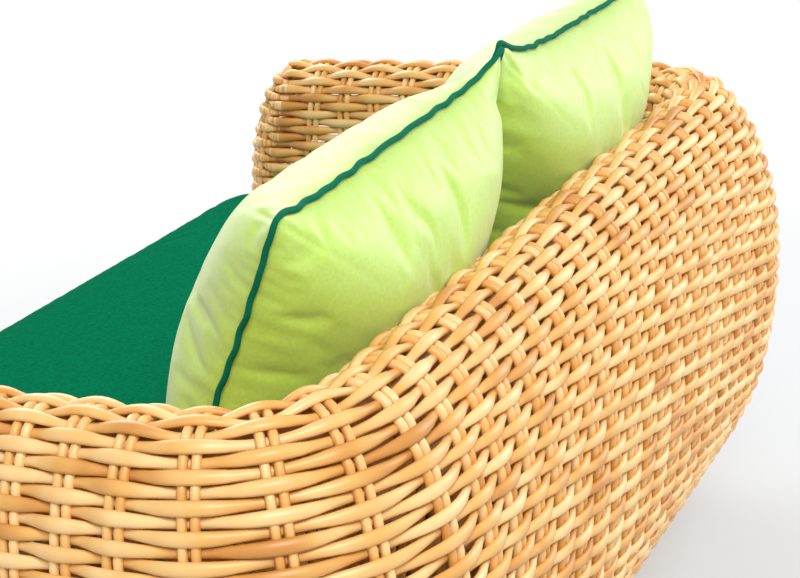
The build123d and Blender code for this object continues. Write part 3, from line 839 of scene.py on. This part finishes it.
def inflate(obj, held, pressure, stretch, cap, frames=20):
    """Cloth with air pressure; held points stay, and no point moves further than cap."""
    start = coords(obj)
    group = obj.vertex_groups.new(name="held")
    group.add([int(i) for i in np.flatnonzero(held)], 1.0, "REPLACE")
    cloth = obj.modifiers.new("cloth", "CLOTH").settings
    cloth.quality = 6
    cloth.mass = 0.25
    cloth.tension_stiffness = cloth.compression_stiffness = 12
    cloth.shear_stiffness = 4
    cloth.bending_stiffness = 0.35
    cloth.use_pressure = True
    cloth.uniform_pressure_force = pressure
    cloth.shrink_min = -stretch
    cloth.vertex_group_mass = "held"
    cloth.effector_weights.gravity = 0
    scene.frame_start, scene.frame_end = 1, frames
    for number in range(1, frames + 1):
        scene.frame_set(number)
    apply_modifiers(obj)
    scene.frame_set(1)
    move = coords(obj) - start
    far = np.linalg.norm(move, axis=1, keepdims=True)
    set_coords(obj, start + move * np.minimum(1, cap / (far + 1e-9)))
    print(obj.name, "moved up to", round(float(far.max()), 1), "mm")


def subdivide(obj):
    obj.modifiers.new("finer", "SUBSURF").levels = 1
    apply_modifiers(obj)


print("Inflating ready")

# %% [markdown]
# ## Fabrics
# Plain woven cloth. The pillows are lime, the seat is emerald, and the piping is a darker
# green. Single threads are too fine to model at this distance, so crossing waves give them as
# bumps, and a noise makes the tone faintly uneven.

# %% Fabrics
speckle_scale, speckle_detail = 260.0, 2.0
thread_waver, thread_detail, thread_height = 1.2, 1.0, 0.0004


def fabric_material(name, color, thread, depth, sheen, rough, specular, speckle=0.13):
    material, tree, shader = new_material(
        name, {"Roughness": rough, "Sheen Weight": sheen, "Specular IOR Level": specular})
    where = tree.add("TexCoord").outputs["Object"]
    mix = tree.add("Mix")
    mix.data_type = "RGBA"
    mix.inputs["A"].default_value = (*[c * (1 - speckle) for c in color], 1)
    mix.inputs["B"].default_value = (*[min(c * (1 + speckle), 1) for c in color], 1)
    tree.link(tree.cloud(where, speckle_scale, speckle_detail), mix.inputs["Factor"])
    tree.link(mix.outputs["Result"], shader.inputs["Base Color"])
    threads = []
    for axis in ("X", "Y"):
        wave = tree.add("TexWave", {"Scale": thread, "Distortion": thread_waver,
                                    "Detail": thread_detail})
        wave.bands_direction = axis
        tree.link(where, wave.inputs["Vector"])
        threads.append(wave.outputs["Fac"])
    crossing = tree.reckon("MAXIMUM", *threads)
    tree.link(tree.relief(crossing, depth, thread_height), shader.inputs["Normal"])
    return material


lime = fabric_material("lime_cloth", (0.48, 0.70, 0.09), thread=420, depth=0.25,
                       sheen=0.35, rough=0.42, specular=1.0)
emerald = fabric_material("emerald_cloth", (0.0, 0.166, 0.074), thread=300, depth=0.6,
                          sheen=0.0, rough=0.9, specular=0.01, speckle=0.5)
cord_cloth = fabric_material("cord_cloth", (0.0, 0.15, 0.078), thread=500, depth=0.5,
                             sheen=0.0, rough=0.8, specular=0.12)
print("Fabrics made")

# %% [markdown]
# ## Seat cushion
# One long boxed cushion in emerald canvas, full enough that its top stands almost level to the
# edge. Its sides bulge a little, and its underside is held, because it lies on the slats.

# %% Seat cushion
cushion_low, cushion_high = (Vector(c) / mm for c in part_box("seat_cushion"))
cushion_half_x = (cushion_high.x - cushion_low.x) / 2
cushion_half_y = (cushion_high.y - cushion_low.y) / 2
cushion_mid_y = (cushion_high.y + cushion_low.y) / 2
seat_grid = (110, 70, 12)
seat_side, seat_corner = 145.0, 56.0
seat_slack, seat_gap = 3.0, 1.0
side_bulge, crown_height, crown_run = 4.0, 6.0, 0.16
at_edge = 0.999


def seat_form():
    u, v, w, faces = box_form(*seat_grid)
    half_x, half_y = cushion_half_x - seat_slack, cushion_half_y - seat_slack
    x, y, m = rounded(u, v, half_x, half_y, seat_corner)
    side = (m > at_edge) & (w > 0) & (w < 1)
    bulge = np.where(side, side_bulge * np.sin(np.pi * w), 0.0)
    inside = np.clip((1 - m) / crown_run, 0, 1)
    crown = np.where(w == 1, crown_height * np.sqrt(inside), 0.0)
    z = cushion_low.z + seat_gap + w * seat_side + crown
    length = np.hypot(x, y) + 1e-9
    x, y = x + x / length * bulge, y + y / length * bulge
    return np.stack([x, y + cushion_mid_y, z], -1), faces, m, w


points, faces, ring, level = seat_form()
seat = mesh_object("seat", points, faces)
held = (level == 0) | ((ring > at_edge) & (level == 1))
inflate(seat, held, pressure=4.0, stretch=0.012, cap=16.0)
subdivide(seat)
seat.data.materials.append(emerald)
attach(seat, "seat_cushion")
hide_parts("seat_cushion")
print("Seat cushion made")

# %% [markdown]
# ## The shape of the pillows
# Square pillows with a seam all round. The right one has side 1 and the left one side -1. Their
# edges are drawn in, the outer ears slump, and the inner ears are pulled up. The left pillow's
# inner ear reaches across and leans out of its plane, so that the two ears pass each other. All
# of this is in one formula for the seam, because the cloth and the piping both follow it.

# %% Pillow form
pillow_width, pillow_height, pillow_thick = 520.0, 398.0, 190.0
half_width, half_height = pillow_width / 2, pillow_height / 2
pillow_grid = (88, 68)
belly, shoulder = 12.0, -10.0
ear_radius, top_draw, low_draw, side_draw = 14.0, 22.0, 15.0, 20.6
ear_pull = 18.0
foot_in, neck_out = 26.0, 9.0
slumps = {1: (33.0, 13.0), -1: (4.0, 2.0)}
ear_reach = {1: 0.0, -1: 22.0}
ear_bend = {1: 0.0, -1: 9.0}
flat_across, flat_up, flat_rim = 3.2, 3.0, 0.62
ripple, ripple_x, ripple_y = 1.5, 23, 31
at_seam = 0.9999


def part_way(value, half):
    """0 where the value is at -half, and 1 at half."""
    return np.clip((1 + value / half) / 2, 0, 1)


def seam_plan(u, v, side):
    """Plan of a pillow: drawn-in edges, a slumped outer ear and a pulled-up inner one."""
    x, y, m = rounded(u, v, half_width, half_height, ear_radius)
    across, along = x / half_width, y / half_height
    outer, upper = part_way(side * x, half_width), part_way(y, half_height)
    inner, lower, rise = 1 - outer, 1 - upper, np.clip(along, 0, 1)
    draw_y = np.where(y > 0, top_draw, low_draw)
    slump_down, slump_in = slumps[side]
    x = x - np.sign(x) * side_draw * across ** 2 * (1 - along ** 2)
    x = x - side * ear_reach[side] * inner ** 12 * upper ** 4
    x = x - side * slump_in * outer ** 2 * upper ** 2 + side * foot_in * inner ** 2 * lower ** 2
    x = x - side * neck_out * inner ** 2 * (rise * (1 - rise) * 4)
    y = y - np.sign(y) * draw_y * along ** 2 * (1 - across ** 4)
    y = y - slump_down * outer ** 2 * upper ** 2 + ear_pull * inner ** 20 * upper ** 2
    return x, y, m


def bent(x, y, side):
    """How far the inner ear leans out of the pillow's plane."""
    return ear_bend[side] * part_way(-side * x, half_width) ** 8 * part_way(y, half_height) ** 4


def pillow_form(seed, side):
    """A pillow lying flat, fuller in front at its belly than at its shoulder."""
    u, v, hand, faces = two_sheets(*pillow_grid)
    local = np.random.default_rng(seed)
    x, y, m = seam_plan(u, v, side)
    fill = ((1 - np.abs(u) ** flat_across) ** flat_rim
            * (1 - np.abs(v) ** flat_up) ** flat_rim)
    fuller = belly + (shoulder - belly) * part_way(y, half_height)
    z = hand * pillow_thick / 2 * fill + (hand > 0) * fuller * fill
    wave_x = np.sin(x / ripple_x + local.uniform(0, 6))
    wave_y = np.sin(y / ripple_y + local.uniform(0, 6))
    z = z + hand * ripple * wave_x * wave_y
    return np.stack([x, y, z * (m < at_seam) + bent(x, y, side)], -1), faces, m > at_seam


print("Pillow form ready:", pillow_width, "by", pillow_height, "mm")

# %% [markdown]
# ## Placing and creasing
# The pillows stand on the seat, lean on the woven back and touch each other at their upper
# ears. Short creases run in from the seam, as the cord gathers the cloth. The simulation could
# make them, but only with a much finer mesh, so they are drawn in afterwards.

# %% Placing and creasing
pillow_lean = math.radians(26.0)
pillow_x, pillow_y, pillow_z = 273.8, 202.6, 646.0
back_clear, over_rim = 19.0, 10.0
crease_count, crease_on_top = 70, 0.58
crease_long, crease_wide, crease_high = (14, 48), (6, 13), (0.5, 1.4)
crease_drift = 0.35
far_off = 999


def stand(points, side):
    """From the pillow's own flat frame to its place on the sofa."""
    c, s = math.cos(math.pi / 2 - pillow_lean), math.sin(math.pi / 2 - pillow_lean)
    x, y, z = points.T
    return np.stack([x + side * pillow_x, y * c - z * s + pillow_y, y * s + z * c + pillow_z], -1)


def keep_clear(points):
    """Flattens a pillow where it rests on the woven back."""
    up = np.clip(points[:, 2], inner_hem_z, rim_z)
    inward, heading = (np.interp(-up, -inner_table[:, 2], inner_table[:, i]) for i in (1, 3))
    back = rim_y - inward - row_step * np.cos(heading) - back_clear
    low = points[:, 2] < rim_z + over_rim
    points[:, 1] = np.where(low, np.minimum(points[:, 1], back), points[:, 1])
    return points


def pucker(points, seed):
    """How far each point of a pillow moves outward in its creases."""
    local = np.random.default_rng(seed)
    x, y, z = points.T
    to_side, to_top = half_width - np.abs(x), half_height - np.abs(y)
    move = np.zeros(len(points))
    for _ in range(crease_count):
        on_top = local.random() < crease_on_top
        place = local.uniform(-1, 1)
        hand = local.choice([-1, 1])
        long, wide = local.uniform(*crease_long), local.uniform(*crease_wide)
        high = local.uniform(*crease_high)
        drift = local.uniform(-crease_drift, crease_drift)
        sign = local.choice([-1, 1])
        if on_top:
            away, along = np.where(y * sign > 0, to_top, far_off), x - place * half_width
        else:
            away, along = np.where(x * sign > 0, to_side, far_off), y - place * half_height
        line = along - drift * away
        shape = (1 - (line / wide) ** 2) * np.exp(-(line / wide) ** 2)
        move += np.where(z * hand > 0, high * shape * np.exp(-(away / long) ** 2), 0)
    return move


print("Each pillow gets", crease_count, "creases")

# %% [markdown]
# ## Piping
# A cord wrapped in cloth is sewn into the seam. It follows the border of the two sheets, a
# little outside it and a little uneven.

# %% Piping
piping_radius, piping_sides = 3.2, 10
piping_out = 0.8
wobble_up, wobble_out = 1.8, 1.2
wobble_up_step, wobble_out_step = 0.5, 0.6


def tube_mesh(name, line, radius, sides, material):
    """A round cord along a closed line."""
    ahead = unit(np.roll(line, -1, 0) - np.roll(line, 1, 0))
    across = unit(np.cross(ahead, line - line.mean(0)))
    size = np.full(len(line), radius)
    points = tube_points(line, across, np.cross(across, ahead), size, size, sides)
    obj = mesh_object(name, points, tube_faces(len(line), sides, closed=True).tolist())
    obj.data.materials.append(material)
    return obj


def seam_line(side):
    """The border of the two sheets, in order round the pillow."""
    places = [(i, j, 0) for i, j in border_loop(*pillow_grid)]
    u, v, _ = unit_grid(places, *pillow_grid)
    x, y, _ = seam_plan(u, v, side)
    return np.stack([x, y, bent(x, y, side)], -1)


def smooth_loop(line, times):
    for _ in range(times):
        line = (np.roll(line, 1, 0) + 2 * line + np.roll(line, -1, 0)) / 4
    return line


def piping_line(side, seed):
    """The seam's line moved out by most of the cord's radius, with two small wobbles."""
    line = seam_line(side)
    outward = unit(line)
    line = smooth_loop(line + outward * (piping_radius * piping_out), 3)
    closing = np.sin(np.linspace(0, math.pi, len(line)))
    line[:, 2] += wander(len(line), wobble_up, wobble_up_step, seed + 4) * closing
    sideways = wander(len(line), wobble_out, wobble_out_step, seed + 9) * closing
    line += outward * sideways[:, None]
    return line


print("Piping ready:", 2 * piping_radius, "mm thick")

# %% [markdown]
# Each pillow is inflated flat, made finer and creased, and then stood on the sofa with its cord.

# %% Making the pillows
for hand, side, seed in (("right", 1, 11), ("left", -1, 23)):
    points, faces, held = pillow_form(seed, side)
    pillow = mesh_object("pillow_soft_" + hand, points, faces)
    inflate(pillow, held, pressure=4.0, stretch=0.03, cap=26.0)
    subdivide(pillow)
    flat = coords(pillow)
    flat = flat + read_points(pillow, "normal") * pucker(flat, seed)[:, None]
    set_coords(pillow, keep_clear(stand(flat, side)))
    pillow.data.materials.append(lime)
    line = stand(piping_line(side, seed), side)
    piping = tube_mesh("pillow_cord_" + hand, line, piping_radius, piping_sides, cord_cloth)
    for piece, slot_name in ((pillow, "pillow_cover"), (piping, "pillow_piping")):
        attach(piece, "pillow_" + hand)
    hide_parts("pillow_" + hand)
    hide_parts("pillow_piping_" + hand)
    print("Pillow made:", hand)

# %% [markdown]
# ## The frame inside
# What the weave and the cushions leave in view from below and between the canes: rattan poles,
# sawn slats, screws, rubber glides, foam and zips. The CAD meshes stay and only get new finishes:
# a dark and a pale tone, the scale of the clouds between them, roughness and depth of relief.

# %% Materials of the frame
mottle_detail, mottle_height = 6.0, 0.0005
dark_until, pale_after = 0.35, 0.65


def mottled(name, dark, pale, scale, rough, depth, metal=0.0):
    material, tree, shader = new_material(name, {"Roughness": rough, "Metallic": metal})
    clouds = tree.cloud(tree.add("TexCoord").outputs["Object"], scale, mottle_detail)
    tones = tree.tones(clouds, [(dark_until, dark), (pale_after, pale)])
    tree.link(tones, shader.inputs["Base Color"])
    tree.link(tree.relief(clouds, depth, mottle_height), shader.inputs["Normal"])
    return material


finishes = {
    "cane_poles": mottled("poles", (0.42, 0.20, 0.06), (0.68, 0.40, 0.16), 28, 0.45, 0.4),
    "timber": mottled("slats", (0.38, 0.25, 0.13), (0.60, 0.44, 0.27), 40, 0.65, 0.5),
    "screws": mottled("screw_steel", (0.45, 0.45, 0.46), (0.66, 0.66, 0.66), 200, 0.35, 0.1,
                      metal=1.0),
    "glides": mottled("glide_rubber", (0.05, 0.045, 0.04), (0.10, 0.09, 0.08), 120, 0.8, 0.5),
    "zips": mottled("zip_tape", (0.08, 0.17, 0.06), (0.13, 0.25, 0.10), 600, 0.7, 0.6),
    "foam": mottled("foam_block", (0.78, 0.75, 0.62), (0.88, 0.85, 0.74), 300, 0.9, 0.8),
}
refinished = 0
for node in scene.objects:
    for holder in node.material_slots:
        if holder.material and holder.material.name in finishes:
            holder.material = finishes[holder.material.name]
            refinished += 1
print("CAD nodes given a finish:", refinished)

# %% [markdown]
# ## Camera
# The camera is the one that was fitted to the crossings of the weave in the photograph. The
# picture was taken from above the right back corner with a long lens.

# %% Camera
yaw, pitch, roll = math.radians(209.129), math.radians(19.693), math.radians(-5.971)
camera_place = (1.8631, 1.0637, 1.2543)
ahead = Vector((math.cos(yaw) * math.cos(pitch), math.sin(yaw) * math.cos(pitch),
                -math.sin(pitch)))
level = Vector((math.sin(yaw), -math.cos(yaw), 0))
upward = level.cross(ahead)
right = level * math.cos(roll) + upward * math.sin(roll)
up = upward * math.cos(roll) - level * math.sin(roll)
camera_data = bpy.data.cameras.new("camera")
camera_data.lens = 80.876
camera_data.sensor_width = 36.0
camera_data.shift_x = 0.0923
camera_data.shift_y = 0.0312
camera = bpy.data.objects.new("camera", camera_data)
turned = Matrix((right, up, -ahead)).transposed().to_4x4()
camera.matrix_world = Matrix.Translation(camera_place) @ turned
scene.collection.objects.link(camera)
scene.camera = camera
print("Camera placed at", camera_place)

# %% [markdown]
# ## Floor
# A pale studio floor that fades to white with distance. The white comes from a painted glow,
# weaker near the sofa and full further away, so the grey round the sofa is partly painted shade
# and partly its real shadow. Only rays that look at it see the glow that whitens it, so it
# lights nothing, and the real shadow round the sofa stays. Under the sofa's own footprint there
# is no glow, or it would shine through the weave from inside.

# %% Floor
floor_size = 30
# Painted light: near the sofa the floor's glow has less share and less strength, which paints
# shade round it.
fade_from, fade_to, fade_least = 1.15, 2.2, 0.6
painted_glow_from, painted_glow_to, painted_glow_least = 0.4, 2.1, 0.75
footprint = (0.57, 0.27, 1.0)
footprint_from, footprint_to = 0.95, 1.1


def looked_at(tree):
    """1 for rays from the camera, also by way of a shiny or clear surface, 0 for the light's."""
    path = tree.add("LightPath")
    total = path.outputs["Is Camera Ray"]
    for kind in ("Is Glossy Ray", "Is Transmission Ray"):
        total = tree.reckon("MAXIMUM", total, path.outputs[kind])
    return total


bpy.ops.mesh.primitive_plane_add(size=floor_size)
floor = bpy.context.object
floor.name = "floor"
floor_material, tree, shader = new_material(
    "floor", {"Base Color": (0.70, 0.75, 0.78, 1), "Roughness": 0.7})
place = tree.add("TexCoord").outputs["Object"]
away = tree.reckon("LENGTH", place, kind="VectorMath", output="Value")
# Painted light: an emission on the floor, weaker near the sofa and white far off.
glow = tree.add("Emission")
tree.link(tree.between(away, painted_glow_from, painted_glow_to, painted_glow_least), glow.inputs["Strength"])
seen = tree.reckon("MULTIPLY", tree.between(away, fade_from, fade_to, fade_least),
                   looked_at(tree))
shares = tree.reckon("DIVIDE", place, footprint, kind="VectorMath")
split = tree.add("SeparateXYZ")
tree.link(tree.reckon("ABSOLUTE", shares, kind="VectorMath"), split.inputs[0])
further = tree.reckon("MAXIMUM", split.outputs["X"], split.outputs["Y"])
outside = tree.between(further, footprint_from, footprint_to)
blend = tree.add("MixShader")
tree.link(tree.reckon("MULTIPLY", outside, seen), blend.inputs["Fac"])
tree.link(shader.outputs[0], blend.inputs[1])
tree.link(glow.outputs[0], blend.inputs[2])
tree.link(blend.outputs[0], tree.nodes["Material Output"].inputs["Surface"])
floor.data.materials.append(floor_material)
print("Floor made")

# %% [markdown]
# ## World and lamps
# The world is looked at as plain white and gives a soft light from all sides. Three large soft
# lamps light the sofa: the key behind its right corner, the fill over its front left, and a
# weaker one that makes the canes of the back gleam.

# %% World and lamps
world_strength = 0.44
world = bpy.data.worlds.new("studio")
tree = Tree(world)
surround = tree.nodes["Background"]
surround.inputs["Color"].default_value = (1, 1, 1, 1)
surround.inputs["Strength"].default_value = world_strength
backdrop = tree.add("Background", {"Color": (1, 1, 1, 1)})
choice = tree.add("MixShader")
tree.link(looked_at(tree), choice.inputs["Fac"])
tree.link(surround.outputs[0], choice.inputs[1])
tree.link(backdrop.outputs[0], choice.inputs[2])
tree.link(choice.outputs[0], tree.nodes["World Output"].inputs["Surface"])
scene.world = world


def area_light(name, place, target, size, power):
    data = bpy.data.lights.new(name, "AREA")
    data.energy = power
    data.size = size
    light = bpy.data.objects.new(name, data)
    light.location = place
    toward = Vector(target) - Vector(place)
    light.rotation_euler = toward.to_track_quat("-Z", "Y").to_euler()
    scene.collection.objects.link(light)


area_light("key", (2.3, 1.9, 3.2), (0.1, 0.1, 0.4), size=1.6, power=106)
area_light("fill", (-2.2, -2.2, 2.8), (0.0, 0.0, 0.4), size=2.2, power=88)
area_light("gleam", (-1.9, 1.7, 1.35), (0.2, 0.3, 0.75), size=1.5, power=30)
scene.view_settings.view_transform = "Standard"
print("World and lamps made")
